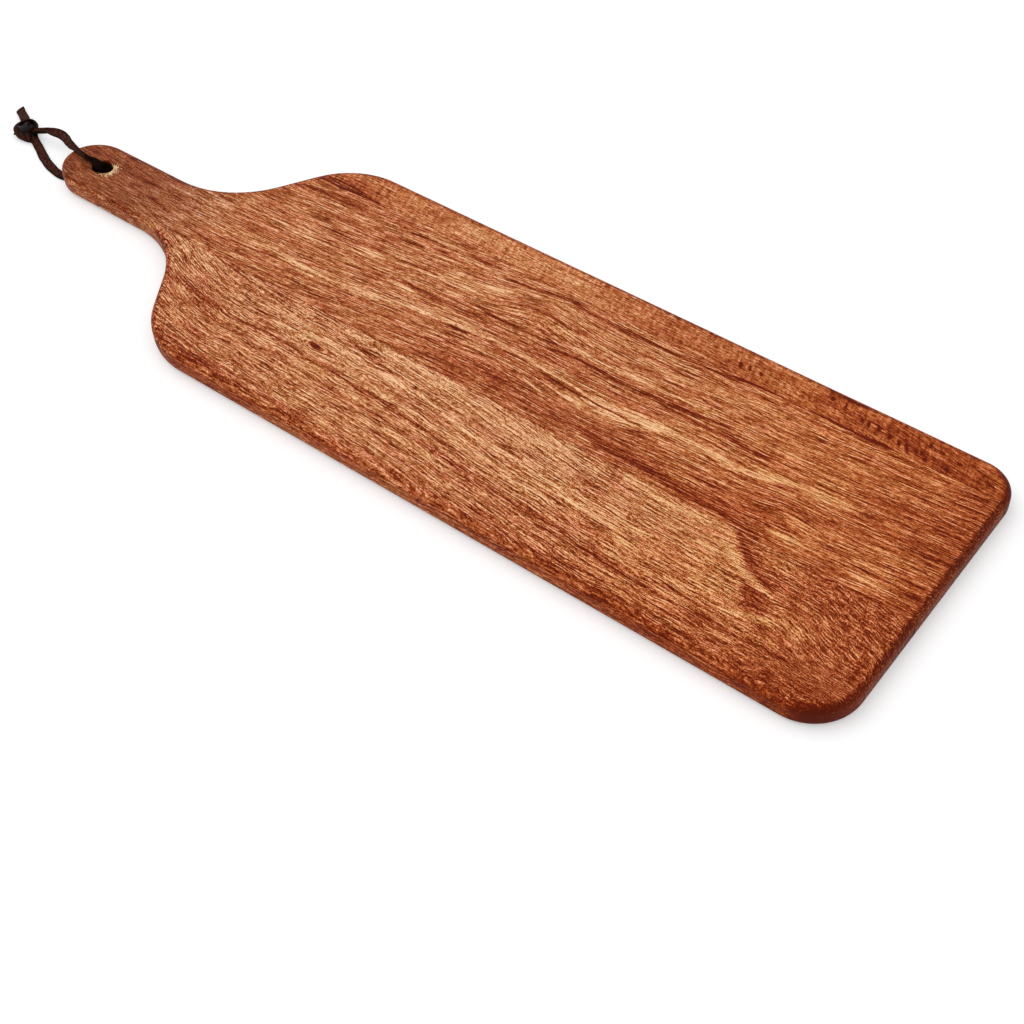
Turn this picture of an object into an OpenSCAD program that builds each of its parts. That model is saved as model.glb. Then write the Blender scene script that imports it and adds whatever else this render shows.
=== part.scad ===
// Paddle-shaped serving board of three staves glued edge to edge and then cut to one outline,
// with a flat leather thong tied through its handle.
// The board lies on its underside: X runs along it with the handle towards -X, Y across, Z up.
// The origin is under the middle of the board.

/* [Board] */
// Overall length, from the nose of the handle to the end of the blade
board_l = 600; // [520:5:700]
// Thickness of the board
board_t = 13; // [12:0.5:20]
// Radius of the round along every top and bottom edge
edge_r = 4.5; // [2:0.25:5.5]

/* [Staves] */
// Distance from the middle of the board to the glue joint on the +Y side
far_joint_y = 71; // [60:1:78]
// Distance from the middle of the board to the glue joint on the -Y side, just inside the handle
near_joint_y = 19; // [15:0.5:19]

/* [Blade] */
// Width of the blade
blade_w = 186; // [170:1:210]
// Corner radius at the blade's end, on the +Y side
corner_r = 20; // [12:1:40]
// Corner radius at the blade's end, on the -Y side
near_corner_r = 28; // [12:1:40]
// Convex radius where each shoulder turns into the blade's side
shoulder_r = 51; // [35:1:60]
// Angle of the shoulders to the length
shoulder_angle = 58; // [50:1:62]

/* [Handle] */
// Width of the handle
handle_w = 41; // [40:0.5:46]
// Length of the handle, from its nose to where the neck starts to widen
handle_l = 79; // [65:1:110]
// Concave radius of the neck, between the handle and the shoulder
neck_r = 61; // [45:1:65]
// Radius at the very tip of the handle
nose_r = 18; // [14:0.5:18.5]
// Length of the rounded nose, from the tip to the parallel sides
nose_l = 23.5; // [21:0.5:30]

/* [Hanging hole] */
// Diameter of the hole for the thong
hole_d = 12; // [11:0.5:14]
// Distance from the nose of the handle to the middle of the hole
hole_from_nose = 28.5; // [26:0.5:32]
// How far the rim of the hole is eased on each face
hole_ease = 1.5; // [0.5:0.25:2]
// Length of the flat of the relief under the handle, from the nose
relief_flat_l = 48; // [45:1:60]
// Length over which the relief then fades out to the underside
relief_fade_l = 60; // [40:1:80]

/* [Thong] */
// Width of the flat leather thong
thong_w = 6; // [4:0.5:6.5]
// Thickness of the thong
thong_t = 1.6; // [1:0.1:1.8]
// Room left above and below the thong where it passes under the handle
thong_gap = 0.3; // [0.2:0.05:0.6]
// Width of the knot across its middle
knot_d = 16; // [13:0.5:18]
// Height of the knot
knot_h = 8; // [6:0.5:9]

/* [Hidden] */
$fn = 96;
// Overrun of every cut past the face that it opens
cut = 1;
// Steps in each arc of the outline, and in the quarter round of an edge
nose_steps = 6;
cheek_steps = 5;
neck_steps = 14;
shoulder_steps = 12;
corner_steps = 10;
edge_steps = 6;

nose_x = -board_l / 2;
end_x = board_l / 2;
half_w = handle_w / 2;
hole_x = nose_x + hole_from_nose;
relief_d = thong_t + 2 * thong_gap;

// The cheek is the longer arc that joins the nose to the parallel side, tangent to both
cheek_r = (pow(nose_l - nose_r, 2) + pow(half_w, 2) - pow(nose_r, 2)) / (2 * (half_w - nose_r));
cheek_angle = atan2(nose_l - nose_r, cheek_r - half_w);

// The shoulder's straight flank takes up the rise that its two arcs leave
flank_rise = blade_w / 2 - half_w - (neck_r + shoulder_r) * (1 - cos(shoulder_angle));
flank_l = flank_rise / sin(shoulder_angle);
neck_x = nose_x + handle_l;
flank_x = neck_x + neck_r * sin(shoulder_angle);
shoulder_x = flank_x + flank_l * cos(shoulder_angle) + shoulder_r * sin(shoulder_angle);

// Section of the thong as shares of its half width and half thickness
section_shares = [[1, 0.4], [0.8, 1], [-0.8, 1], [-1, 0.4], [-1, -0.4], [-0.8, -1], [0.8, -1], [1, -0.4]];

// Middle of the knot on the surface that the board lies on
knot_at = [-350, 4.5, 0];

// Routes of the thong's middle line, starting halfway down the hole, and at the knot for the tail
upper_route = [
    [-275.1, 0, 6.5], [-275.1, 0, 9.5], [-275.2, 0, 11.9], [-276, 0, 13.6], [-278.2, 0.2, 14.5],
    [-282, 0.9, 14.5], [-289, 1.9, 14.5], [-296, 3.3, 14.2], [-301.5, 5.4, 13], [-307.5, 8.4, 11.5],
    [-314, 11.2, 10], [-321, 12.2, 8.6], [-328, 11.2, 7.2], [-334.5, 9.4, 6.2], [-340.5, 7.8, 5.6],
    [-345, 6.6, 5.4]
];
lower_route = [
    [-275.1, 0, 6.5], [-275.1, 0, 4.4], [-275.4, 0, 2.6], [-276.5, 0, 1.3], [-278.8, -0.2, 0.95],
    [-281.8, -1.6, 0.95], [-285, -4.4, 0.95], [-289.4, -8.4, 0.95], [-294.2, -11.2, 0.95],
    [-300, -12.3, 0.95], [-307, -11.4, 0.95], [-315, -8.9, 0.95], [-323, -5.8, 0.95],
    [-331, -2.2, 1.2], [-338.5, 1.6, 1.8], [-345.5, 4.6, 2.4]
];
tail_route = [
    [-354, 7.4, 4.4], [-357.5, 10, 4], [-361, 12.4, 3.2], [-364.5, 14.6, 2.3], [-368.4, 16.9, 1.5],
    [-372.5, 19.4, 1.1]
];

function unit(v) = v / norm(v);

// Points of an arc with their outward normals: side is 1 on a convex arc and -1 on a concave one,
// and skip leaves out the points that the arc before already has
function arc_points(centre, r, from, to, steps, side = 1, skip = 0) = [
    for (i = [skip:steps])
        let (a = from + (to - from) * i / steps, n = [cos(a), sin(a)])
        [centre + r * n, side * n]
];

// One side of the outline, from the tip of the nose to the blade's end
function half_outline(end_r) = concat(
    arc_points([nose_x + nose_r, 0], nose_r, 180, 180 - cheek_angle, nose_steps),
    arc_points([nose_x + nose_l, half_w - cheek_r], cheek_r, 180 - cheek_angle, 90, cheek_steps, skip = 1),
    arc_points([neck_x, half_w + neck_r], neck_r, -90, shoulder_angle - 90, neck_steps, -1),
    arc_points([shoulder_x, blade_w / 2 - shoulder_r], shoulder_r, 90 + shoulder_angle, 90, shoulder_steps),
    arc_points([end_x - end_r, blade_w / 2 - end_r], end_r, 90, 0, corner_steps)
);

far_half = half_outline(corner_r);
near_half = half_outline(near_corner_r);
half_n = len(far_half);
ring_n = 2 * half_n - 1;

// One ring of the skin: the outline drawn in by inset, at height z, round from the nose
function ring_points(inset, z) = concat(
    [for (q = far_half) let (p = q[0] - inset * q[1]) [p.x, p.y, z]],
    [for (i = [half_n - 1:-1:1]) let (q = near_half[i], p = q[0] - inset * q[1]) [p.x, -p.y, z]]
);

// Insets and heights of the rings from the underside up, round the lower edge and the upper one
edge_rings = concat(
    [for (i = [0:edge_steps]) let (a = 90 * i / edge_steps) [edge_r * (1 - sin(a)), edge_r * (1 - cos(a))]],
    [for (i = [edge_steps:-1:0])
        let (a = 90 * i / edge_steps) [edge_r * (1 - sin(a)), board_t - edge_r * (1 - cos(a))]]
);
rings = len(edge_rings);
skin_points = [for (e = edge_rings) each ring_points(e[0], e[1])];

// The partner of point i of the +Y side, on the -Y side of the same ring
function partner(i) = (ring_n - i) % ring_n;

// A flat face is strips that join each point to its partner across the board
function cap_faces(base) = [
    for (i = [0:half_n - 2])
        each i == 0
            ? [[base, base + 1, base + partner(1)]]
            : [[base + i, base + i + 1, base + partner(i + 1)], [base + i, base + partner(i + 1), base + partner(i)]]
];
function turned(faces) = [for (f = faces) [f[0], f[2], f[1]]];
wall_faces = [
    for (k = [0:rings - 2], i = [0:ring_n - 1])
        let (j = (i + 1) % ring_n, a = k * ring_n)
        each [[a + i, a + ring_n + j, a + ring_n + i], [a + i, a + j, a + ring_n + j]]
];

// The board's whole rounded form, before it is told apart into staves
module board_form() {
    polyhedron(
        points = skin_points,
        faces = concat(turned(cap_faces(0)), wall_faces, cap_faces((rings - 1) * ring_n)),
        convexity = 4
    );
}

// The hanging hole, straight through, with its rim eased on the top and in the relief
module hole_cut() {
    r = hole_d / 2;
    translate([hole_x, 0, -cut]) cylinder(r = r, h = board_t + 2 * cut);
    translate([hole_x, 0, board_t - hole_ease]) cylinder(r1 = r, r2 = r + hole_ease + cut, h = hole_ease + cut);
    translate([hole_x, 0, relief_d - cut]) cylinder(r1 = r + hole_ease + cut, r2 = r, h = hole_ease + cut);
}

// The shallow relief under the handle, which leaves room for the thong and fades out at the neck
module relief_cut() {
    flat_x = nose_x + relief_flat_l;
    translate([0, blade_w / 2, 0]) rotate([90, 0, 0]) linear_extrude(blade_w)
        polygon([
            [nose_x - cut, -cut],
            [nose_x - cut, relief_d],
            [flat_x, relief_d],
            [flat_x + relief_fade_l, 0],
            [flat_x + relief_fade_l, -cut]
        ]);
}

// The part of the relieved form between two distances across the board
module stave(from_y, to_y) {
    intersection() {
        difference() {
            board_form();
            relief_cut();
        }
        translate([nose_x - cut, from_y, -cut]) cube([board_l + 2 * cut, to_y - from_y, board_t + 2 * cut]);
    }
}

module far_stave() {
    color("peru") stave(far_joint_y, blade_w / 2 + cut);
}

module middle_stave() {
    color("sienna") difference() {
        stave(-near_joint_y, far_joint_y);
        hole_cut();
    }
}

module near_stave() {
    color("chocolate") stave(-blade_w / 2 - cut, -near_joint_y);
}

// Direction of a route at its point i
function heading(p, i) = unit(p[min(i + 1, len(p) - 1)] - p[max(i - 1, 0)]);

// The thong's width direction at each point, carried along the route without twist
function width_dirs(p, w, i = 0) = i == len(p) ? [] :
    let (t = heading(p, i), d = unit(w - (w * t) * t)) concat([d], width_dirs(p, d, i + 1));

// A flat strap along a route, closed at both ends, whose width starts along w
module strap(route, w) {
    dirs = width_dirs(route, w);
    n = len(section_shares);
    last = len(route) - 1;
    points = [
        for (i = [0:last], s = section_shares)
            route[i] + dirs[i] * s.x * thong_w / 2 + cross(dirs[i], heading(route, i)) * s.y * thong_t / 2
    ];
    faces = concat(
        [[for (k = [0:n - 1]) k]],
        [for (i = [0:last - 1], k = [0:n - 1])
            let (m = (k + 1) % n, a = i * n)
            each [[a + k, a + n + k, a + n + m], [a + k, a + n + m, a + m]]],
        [[for (k = [n - 1:-1:0]) last * n + k]]
    );
    polyhedron(points = points, faces = faces, convexity = 4);
}

module thong_upper_leg() {
    color("saddlebrown") strap(upper_route, [0, 1, 0]);
}

module thong_lower_leg() {
    color("saddlebrown") strap(lower_route, [0, 1, 0]);
}

module thong_tail() {
    color("saddlebrown") strap(tail_route, [1, 1, 0]);
}

// The knot is a round lump that lies flat on the surface
module thong_knot() {
    r = knot_h / 2;
    color("maroon") translate(knot_at) rotate_extrude() {
        square([knot_d / 2 - r, knot_h]);
        translate([knot_d / 2 - r, r]) intersection() {
            circle(r = r);
            translate([0, -r]) square([r, knot_h]);
        }
    }
}

far_stave();
middle_stave();
near_stave();
thong_upper_leg();
thong_lower_leg();
thong_knot();
thong_tail();
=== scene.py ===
"""Paddle-shaped serving board of three staves glued edge to edge, with a flat suede lace tied
through its handle. Lengths are in millimetres, and make_piece turns them into metres."""

import math

import bmesh
import bpy
import numpy as np
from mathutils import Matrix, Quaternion, Vector


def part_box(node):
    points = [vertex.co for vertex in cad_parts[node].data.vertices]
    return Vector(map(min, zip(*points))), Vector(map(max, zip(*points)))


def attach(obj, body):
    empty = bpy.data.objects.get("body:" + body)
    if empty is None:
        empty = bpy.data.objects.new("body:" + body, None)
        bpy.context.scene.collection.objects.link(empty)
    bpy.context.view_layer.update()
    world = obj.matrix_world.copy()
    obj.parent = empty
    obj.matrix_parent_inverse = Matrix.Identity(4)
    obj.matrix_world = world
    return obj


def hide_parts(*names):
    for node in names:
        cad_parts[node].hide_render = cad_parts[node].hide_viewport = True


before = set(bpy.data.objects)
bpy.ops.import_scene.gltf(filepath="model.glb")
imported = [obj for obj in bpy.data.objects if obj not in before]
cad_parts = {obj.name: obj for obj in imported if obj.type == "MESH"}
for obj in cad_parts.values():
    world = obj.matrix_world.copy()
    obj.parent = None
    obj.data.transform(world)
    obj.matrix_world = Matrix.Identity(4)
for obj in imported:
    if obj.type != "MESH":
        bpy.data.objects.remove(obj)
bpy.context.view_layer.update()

MM = 0.001


def box_mm(name):
    """Lowest and highest corners of a CAD node, in millimetres."""
    return [np.array(corner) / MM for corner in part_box(name)]


# Sizes of the board that the frame gives
middle_low, middle_high = box_mm("middle_stave")
far_low, far_high = box_mm("far_stave")
near_low, near_high = box_mm("near_stave")
NOSE_X = middle_low[0]
END_X = middle_high[0]
BOARD_T = middle_high[2]
BLADE_HALF = far_high[1]
FAR_JOINT_Y = far_low[1]
NEAR_JOINT_Y = near_high[1]

# Sizes of the outline, the edge, the hole and the relief, as in the CAD model
HANDLE_HALF = 20.5
HANDLE_L = 79.0
NOSE_R = 18.0
NOSE_L = 23.5
NECK_R = 61.0
SHOULDER_R = 51.0
SHOULDER_ANGLE = math.radians(58)
FAR_CORNER_R = 20.0
NEAR_CORNER_R = 28.0
EDGE_R = 4.5
LOWER_EDGE_R = 3.0
HOLE_R = 6.0
HOLE_X = NOSE_X + 28.5
HOLE_EASE = 0.5
RELIEF_D = 2.2
RELIEF_FLAT_X = NOSE_X + 48.0
RELIEF_FADE = 60.0

# Sizes of the lace
LACE_W = 6.0
LACE_T = 1.6


# Camera

EYE = (468.4, -496.3, 660.9)
LOOK_AT = (97.5, -66.1, 0)
ROLL = math.radians(-4.0)
LENS_MM = 60.27


def add_camera():
    """A camera at the eye point, aimed at the look-at point and then rolled about its own axis."""
    data = bpy.data.cameras.new("camera")
    data.sensor_width = 36.0
    data.lens = LENS_MM
    data.clip_start = 0.01
    camera = bpy.data.objects.new("camera", data)
    bpy.context.scene.collection.objects.link(camera)
    eye = Vector(EYE) * MM
    aim = (Vector(LOOK_AT) * MM - eye).to_track_quat("-Z", "Y")
    camera.location = eye
    camera.rotation_mode = "QUATERNION"
    camera.rotation_quaternion = aim @ Quaternion((0, 0, 1), ROLL)
    bpy.context.scene.camera = camera


# Mesh tools


def grid_faces(rows, columns, closed=False, first=0):
    """Quads of a grid of points stored row by row, whose rows close on themselves if asked."""
    i = np.arange(rows - 1)[:, None]
    j = np.arange(columns if closed else columns - 1)[None, :]
    k = (j + 1) % columns
    corners = (i * columns + j, i * columns + k, (i + 1) * columns + k, (i + 1) * columns + j)
    return np.stack(corners, axis=-1).reshape(-1, 4) + first


def make_piece(name, points, faces, sharp=math.radians(40)):
    """One closed piece from points in millimetres: coinciding points are merged, faces turned
    outwards, and edges steeper than the sharp angle stay crisp."""
    mesh = bpy.data.meshes.new(name)
    mesh.from_pydata((np.asarray(points) * MM).tolist(), [], [list(face) for face in faces])
    work = bmesh.new()
    work.from_mesh(mesh)
    bmesh.ops.remove_doubles(work, verts=work.verts, dist=0.003 * MM)
    bmesh.ops.recalc_face_normals(work, faces=work.faces)
    work.to_mesh(mesh)
    work.free()
    mesh.shade_smooth()
    mesh.set_sharp_from_angle(angle=sharp)
    piece = bpy.data.objects.new(name, mesh)
    bpy.context.scene.collection.objects.link(piece)
    return piece


def per_point(piece, what):
    """Each point's place in metres (co) or its normal (normal), as three arrays."""
    values = np.empty(len(piece.data.vertices) * 3)
    piece.data.vertices.foreach_get(what, values)
    return values.reshape(-1, 3).T


def paint(piece, name, *parts):
    """Keeps one number, or three, for each point under a name that the materials read."""
    kind, field = ("FLOAT", "value") if len(parts) == 1 else ("FLOAT_VECTOR", "vector")
    layer = piece.data.attributes.new(name, kind, "POINT")
    layer.data.foreach_set(field, np.stack(parts, axis=-1).astype(np.float32).ravel())


def smooth_step(low, high, x):
    """Rises from 0 at low to 1 at high along 3t^2 - 2t^3."""
    t = np.clip((x - low) / (high - low), 0, 1)
    return t * t * (3 - 2 * t)


def cloud(x, y, size_x, size_y, seed):
    """Smooth random relief from -1 to 1: random heights on a lattice of the given pitch, joined
    across each cell by smooth steps."""
    heights = np.random.default_rng(seed).uniform(-1, 1, (256, 256))
    u = np.asarray(x) / size_x
    v = np.asarray(y) / size_y
    i = np.floor(u).astype(int)
    j = np.floor(v).astype(int)
    s = smooth_step(0, 1, u - i)
    t = smooth_step(0, 1, v - j)
    low = heights[i % 256, j % 256] * (1 - s) + heights[(i + 1) % 256, j % 256] * s
    high = heights[i % 256, (j + 1) % 256] * (1 - s) + heights[(i + 1) % 256, (j + 1) % 256] * s
    return low * (1 - t) + high * t


def curve_through(points, steps):
    """A smooth line through given points: on each stretch a cubic leaves a point along the
    line that joins its two neighbours."""
    p = np.array(points, dtype=float)
    padded = np.vstack([2 * p[0] - p[1], p, 2 * p[-1] - p[-2]])
    a, b, c, d = padded[:-3], padded[1:-2], padded[2:-1], padded[3:]
    t = np.linspace(0, 1, steps, endpoint=False)[:, None, None]
    cubic = 2 * b + (c - a) * t + (2 * a - 5 * b + 4 * c - d) * t**2 + (3 * b - a - 3 * c + d) * t**3
    return np.vstack([(0.5 * cubic).transpose(1, 0, 2).reshape(-1, 3), p[-1]])


# The lace: its middle line runs from halfway down the hole to the knot, over and under the handle

UPPER_ROUTE = [
    (-273.6, 0, 6.5), (-273.6, 0, 9.5), (-273.9, -0.3, 12.2), (-275.5, -0.8, 14.1), (-278.3, -1.3, 15),
    (-282.3, -1, 15.1), (-286.9, 0, 14.9), (-291.7, 1.2, 14.3), (-297, 2.7, 13.4), (-301.9, 4, 12.6),
    (-306.8, 5.6, 11.9), (-314.1, 8.4, 10.9), (-319, 9.6, 10.2), (-323.5, 10, 9.4), (-327.2, 9.8, 8.6),
    (-330.5, 9.4, 7.8), (-334, 8.8, 6.9), (-338.3, 7.7, 5.7), (-341.6, 6.6, 4.9), (-343.8, 5.7, 4.5),
]
LOWER_ROUTE = [
    (-275.1, 0, 6.5), (-275.1, 0, 4.4), (-275.4, 0, 2.6), (-276.5, 0, 1.3), (-278.8, -0.2, 0.95),
    (-281.8, -1.6, 0.95), (-285, -4.2, 0.95), (-289.4, -7.8, 0.95), (-294.2, -10.4, 0.95),
    (-300, -11.4, 0.95), (-307, -10.6, 0.95), (-315, -8.4, 0.95), (-323, -5.2, 0.95),
    (-331, -1.2, 1.2), (-338.5, 2.2, 1.8), (-345.5, 5, 2.4),
]
TAIL_ROUTE = [
    (-352, 8.2, 4.6), (-356, 10.6, 4.6), (-360, 12.9, 3.8), (-364.2, 15.2, 2.7), (-368.6, 17.4, 1.7),
    (-373, 19.7, 1.2),
]

# How the lace turns about its line and folds along it: share of its length, degrees
UPPER_TWIST = [(0, 0), (0.12, -8), (0.25, -34), (0.5, -38), (0.74, -34), (0.84, -12), (1, 0)]
UPPER_FOLD = [
    (0, -4), (0.08, -5), (0.11, -24), (0.15, -60), (0.26, -60), (0.38, -48), (0.48, -30),
    (0.56, -6), (0.74, -2), (0.82, -44), (0.9, -54), (1, -46),
]
LOWER_TWIST = [(0, 0), (0.5, 0), (0.9, -4), (1, -10)]
LOWER_FOLD = [(0, 6), (0.5, 6), (0.8, 10), (1, 24)]
TAIL_TWIST = [(0, -14), (0.5, -4), (1, 0)]
TAIL_FOLD = [(0, 26), (0.4, 12), (1, 5)]
SECTION_POINTS = 28
STEPS_PER_STRETCH = 9
# How round the section's sides and faces are: 0 makes an oblong and 1 an ellipse
SIDE_ROUND = 0.45
FACE_ROUND = 0.7
# Distance from the hole's middle within which the lace is painted fully darker, as shade in and by the
# hole, and beyond which it has no painted shade
LACE_SHADE_FULL_WITHIN = 5
LACE_SHADE_NONE_BEYOND = 17


def lace_strip(name, route, width_along, twist, fold, seed, width=LACE_W, inner_face_shade=0.0, slant=0.0):
    """A flat strip along a smooth route. Its section is a rounded oblong whose two halves are
    tilted up by the fold angle, turned by the twist angle about the route. The last sections are
    pushed along by slant times the share across, which makes a cut at an angle. Nothing dips below
    the floor. The strip is painted darker in and near the hole as shade, and on its face as far as
    asked, as painted shade inside the knot."""
    line = curve_through(route, STEPS_PER_STRETCH)
    rows = len(line)
    heading = np.gradient(line, axis=0)
    heading /= np.linalg.norm(heading, axis=1, keepdims=True)
    walked = np.concatenate([[0], np.cumsum(np.linalg.norm(np.diff(line, axis=0), axis=1))])
    share = walked / walked[-1]
    width_along = np.asarray(width_along, float)
    across = width_along - (heading @ width_along)[:, None] * heading
    across /= np.linalg.norm(across, axis=1, keepdims=True)
    up = np.cross(heading, across)
    turn = np.radians(np.interp(share, *np.transpose(twist)))[:, None]
    across, up = np.cos(turn) * across + np.sin(turn) * up, np.cos(turn) * up - np.sin(turn) * across

    angle = np.linspace(0, 2 * np.pi, SECTION_POINTS, endpoint=False)[None, :]
    flat = np.sign(np.cos(angle)) * np.abs(np.cos(angle)) ** SIDE_ROUND
    thick = np.sign(np.sin(angle)) * np.abs(np.sin(angle)) ** FACE_ROUND
    tilt = np.radians(np.interp(share, *np.transpose(fold)))[:, None]
    half = width / 2 * (1 + 0.05 * cloud(walked, 0 * walked, 4.0, 1.0, seed))[:, None]
    sideways = flat * half * np.cos(tilt)
    lift = (np.sqrt(flat**2 + 0.03) - 0.45) * half * np.sin(tilt)
    lift = lift + thick * LACE_T / 2 / np.sqrt(np.cos(tilt))
    pushed = slant * flat * smooth_step(0.6, 1, share)[:, None]

    points = line[:, None, :] + sideways[..., None] * across[:, None, :]
    points = points + lift[..., None] * up[:, None, :] + pushed[..., None] * heading[:, None, :]
    points[..., 2] = np.maximum(points[..., 2], 0.0)
    end = np.arange(SECTION_POINTS)
    faces = [*grid_faces(rows, SECTION_POINTS, closed=True), end, end + (rows - 1) * SECTION_POINTS]
    piece = make_piece(name, points.reshape(-1, 3), faces, sharp=math.radians(55))
    along = np.repeat(walked, SECTION_POINTS)
    side = np.tile(flat[0] * LACE_W / 2, rows)
    face = np.tile(thick[0] * LACE_T / 2, rows)
    paint(piece, "lace", along + seed * 100, side, face)
    x, y, _ = per_point(piece, "co") / MM
    # Painted shade: darker in and near the hole, and on the face that lies inside the knot as far as
    # asked
    lace_shade = smooth_step(LACE_SHADE_NONE_BEYOND, LACE_SHADE_FULL_WITHIN, np.hypot(x - HOLE_X, y))
    paint(piece, "lace_shade", np.maximum(lace_shade, inner_face_shade * smooth_step(0.1, 0.6, face)))
    return piece


# The knot: an outer turn that stands on edge round the strands, and the strand tucked inside it

KNOT_AT = np.array((-350.0, 4.5, 0.0))
RING_ROUTE = [
    (8.5, -3.4, 2.8), (5, -4.7, 3.1), (1, -5, 3.2), (-3, -4.6, 3.3), (-6.4, -2.6, 3.5),
    (-8.1, 0.6, 3.7), (-7.4, 3.8, 3.9), (-5, 6.6, 4.1), (-2, 8.3, 4.2), (1.2, 7.9, 4.2),
    (4, 5.6, 4), (5.2, 2.7, 3.8), (4.5, -0.5, 3.4),
]
TUCK_ROUTE = [(-6, 2, 4), (-3, 0.9, 5.1), (0, -0.4, 5.4), (3, -1.6, 4.8), (6.2, -2.6, 3.2)]
CROSS_ROUTE = [(8, -1, 2.2), (6, 1, 3.6), (4, 3.6, 4.6), (1.6, 6, 4.4)]
UNDER_ROUTE = [(-6, -3, 2.6), (-1, 0, 2.9), (5.5, 4, 2.6)]
RING_TWIST = [(0, 8), (0.22, 26), (0.5, 22), (0.68, -4), (0.84, -20), (1, -30)]
RING_FOLD = [(0, 20), (0.3, 36), (0.8, 38), (1, 20)]


def knot_pieces():
    """The knot's turn on edge, and the strands tucked and crossed inside it."""
    strands = (
        # The turn's last number is the painted shade on its face inside the knot
        ("knot_turn", RING_ROUTE, (0, 0, 1), RING_TWIST, RING_FOLD, 5, 7.0, 0.8),
        ("knot_tuck", TUCK_ROUTE, (0.4, 1, 0), [(0, 8), (1, -12)], [(0, 24), (1, 30)], 6, 7.0),
        ("knot_cross", CROSS_ROUTE, (1, 0.6, 0), [(0, 0), (1, 20)], [(0, 20), (1, 20)], 7, 6.5),
        ("knot_under", UNDER_ROUTE, (-0.5, 1, 0), [(0, 0), (1, 0)], [(0, 5), (1, 5)], 8, 8.5),
    )
    return [lace_strip(name, np.array(route) + KNOT_AT, *rest) for name, route, *rest in strands]


# The board's form


def half_width(x, inset, corner_r):
    """Distance from the board's middle line to its outline drawn in by inset: the nose and cheek
    are convex arcs, then the straight handle, the concave neck, the straight flank, the convex
    shoulder, the straight side and the corner. Each arc's height is its centre's plus or minus the
    root of its radius squared less the run from the centre squared."""
    cheek_r = ((NOSE_L - NOSE_R) ** 2 + HANDLE_HALF**2 - NOSE_R**2) / (2 * (HANDLE_HALF - NOSE_R))
    cheek_angle = math.atan2(NOSE_L - NOSE_R, cheek_r - HANDLE_HALF)
    sine, cosine = math.sin(SHOULDER_ANGLE), math.cos(SHOULDER_ANGLE)
    neck_x = NOSE_X + HANDLE_L
    rise = BLADE_HALF - HANDLE_HALF - (NECK_R + SHOULDER_R) * (1 - cosine)
    shoulder_x = neck_x + (NECK_R + SHOULDER_R) * sine + rise * cosine / sine

    def arc(centre_x, centre_y, r, side):
        return centre_y + side * np.sqrt(np.clip(r**2 - (x - centre_x) ** 2, 0, None))

    nose = arc(NOSE_X + NOSE_R, 0, NOSE_R - inset, 1)
    cheek = arc(NOSE_X + NOSE_L, HANDLE_HALF - cheek_r, cheek_r - inset, 1)
    handle = HANDLE_HALF - inset + 0 * x
    neck = arc(neck_x, HANDLE_HALF + NECK_R, NECK_R + inset, -1)
    flank_x = neck_x + (NECK_R + inset) * sine
    flank_y = HANDLE_HALF + NECK_R - (NECK_R + inset) * cosine
    flank = flank_y + (x - flank_x) * sine / cosine
    shoulder = arc(shoulder_x, BLADE_HALF - SHOULDER_R, SHOULDER_R - inset, 1)
    side = BLADE_HALF - inset + 0 * x
    corner = arc(END_X - corner_r, BLADE_HALF - corner_r, corner_r - inset, 1)
    nose_end = NOSE_X + NOSE_R - (NOSE_R - inset) * math.cos(cheek_angle)
    flank_end = shoulder_x - (SHOULDER_R - inset) * sine
    ends = (nose_end, NOSE_X + NOSE_L, neck_x, flank_x, flank_end, shoulder_x, END_X - corner_r)
    parts = [nose, cheek, handle, neck, flank, shoulder, side]
    return np.select([x < end for end in ends], parts, corner)


def relief_height(x):
    """Height of the relief under the handle: flat from the nose, then falling evenly to nothing."""
    return RELIEF_D * np.clip(1 - (x - RELIEF_FLAT_X) / RELIEF_FADE, 0, 1)


def stations(start, stop, pitch):
    """Places along the board, close together where the ends turn over and evenly spaced between."""
    bend = 1 - np.cos(np.linspace(0, np.pi / 2, 10))
    lead = 3 * EDGE_R
    head = np.concatenate([start + EDGE_R * bend, start + EDGE_R + lead * bend[1:]])
    foot = np.concatenate([stop - EDGE_R * bend, stop - EDGE_R - lead * bend[1:]])[::-1]
    inner = np.linspace(head[-1], foot[0], int((foot[0] - head[-1]) / pitch) + 2)[1:-1]
    return np.concatenate([head, inner, foot])


EDGE_STEPS = 8
# The eased edges along the glue joints, and where the far joint stands a little open
JOINT_EASE_W = 0.45
JOINT_EASE_D = 0.16
OPEN_JOINT = (-153, -104)
# Height of the waves that handwork leaves on the faces
FACE_WAVE = 0.05


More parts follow.
